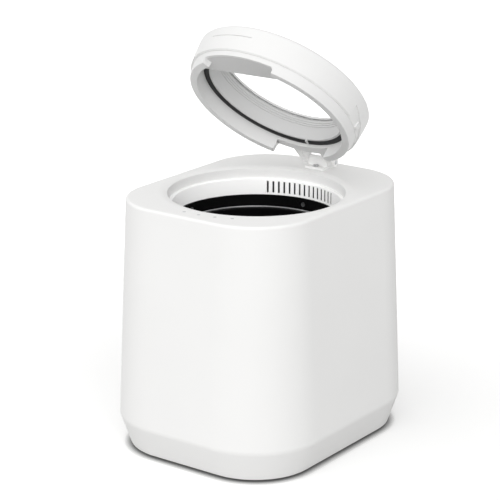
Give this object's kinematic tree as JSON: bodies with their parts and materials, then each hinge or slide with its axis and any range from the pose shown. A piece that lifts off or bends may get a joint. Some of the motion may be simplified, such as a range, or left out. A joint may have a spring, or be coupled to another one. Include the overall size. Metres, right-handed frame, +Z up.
{
  "type": "kitchen composter",
  "caption": "Countertop kitchen composter: tapered rounded body with a round top opening, ring lid with a clear window on a rear hinge, stirred bucket and rear filter drawer.",
  "frame": {"origin": "centre of the footprint on the floor, under the feet", "axes": "+Z up, the front with the touch marks faces -Y, +X to the object's right, the hinge and filter drawer at +Y"},
  "size_m": [0.2518, 0.309, 0.4758],
  "materials": {
    "white_plastic": "satin moulded white",
    "base_plastic": "moulded pale grey",
    "lid_inner_plastic": "satin moulded white",
    "rubber_black": "soft black",
    "steel": "plain zinc",
    "black_coating": "black satin coat",
    "bucket_coating": "black non-stick coat",
    "rim_steel": "bright rolled edge",
    "aluminium": "cast",
    "brass": "plain turned",
    "motor_paint": "dark grey",
    "grey_plastic": "moulded grey",
    "black_plastic": "moulded black",
    "board_green": "green solder mask",
    "mark_grey": "pale grey light guide",
    "gear_nylon": "natural nylon",
    "filter_charcoal": "black cartridge",
    "clear_window": "clear polished"
  },
  "bodies": {
    "housing": {"outer_shell": "white_plastic", "base_plate": "base_plastic", "feet": "rubber_black", "base_screws": "steel", "top_cover": "white_plastic", "opening_collar": "white_plastic", "well_liner": "black_coating", "well_floor": "black_coating", "liner_seal": "rubber_black", "liner_rivets": "steel", "heater_plate": "aluminium", "bucket": "bucket_coating", "bucket_rim_ring": "rim_steel", "bucket_bush": "brass", "chassis": "steel", "shaft_bush": "brass", "gear_motor": "motor_paint", "air_duct": "grey_plastic", "fan_frame": "black_plastic", "filter_sleeve": "grey_plastic", "power_inlet": "black_plastic", "inlet_pins": "brass", "main_board": "board_green", "board_standoffs": "brass", "board_parts": "black_plastic", "control_board": "board_green", "touch_marks": "mark_grey", "hinge_bracket": "white_plastic", "hinge_screws": "steel", "hinge_pin": "steel"},
    "lid": {"lid_dome": "white_plastic", "lid_skirt": "lid_inner_plastic", "lid_inner_ring": "lid_inner_plastic", "lid_window": "clear_window", "lid_gasket": "rubber_black", "lid_pocket": "lid_inner_plastic", "hinge_arms": "white_plastic"},
    "mixer": {"agitator": "bucket_coating", "drive_coupling": "steel", "output_shaft": "steel", "output_gear": "gear_nylon"},
    "pinion": {"motor_pinion": "brass", "motor_shaft": "steel"},
    "fan": {"fan_rotor": "black_plastic"},
    "drawer": {"filter_drawer": "white_plastic", "filter_cartridge": "filter_charcoal"}
  },
  "joints": [
    {"name": "lid_hinge", "type": "hinge", "parent": "housing", "child": "lid", "pos_m": [0, 0.1155, 0.2975], "axis": [-1, 0, 0], "range_deg": [-45.4, 50]},
    {"name": "mixer_spin", "type": "hinge", "parent": "housing", "child": "mixer", "pos_m": [0, -0.01, 0.1], "axis": [0, 0, 1], "continuous": true},
    {"name": "pinion_spin", "type": "hinge", "parent": "housing", "child": "pinion", "pos_m": [0, -0.05815, 0.055], "axis": [0, 0, 1], "continuous": true},
    {"name": "fan_spin", "type": "hinge", "parent": "housing", "child": "fan", "pos_m": [0, 0.1129, 0.2125], "axis": [0, 0, 1], "continuous": true},
    {"name": "drawer_slide", "type": "slide", "parent": "housing", "child": "drawer", "axis": [0, 1, 0], "range_m": [0, 0.065]}
  ],
  "couplings": [
    {"joint": "pinion_spin", "follows": "mixer_spin", "ratio": -3}
  ]
}
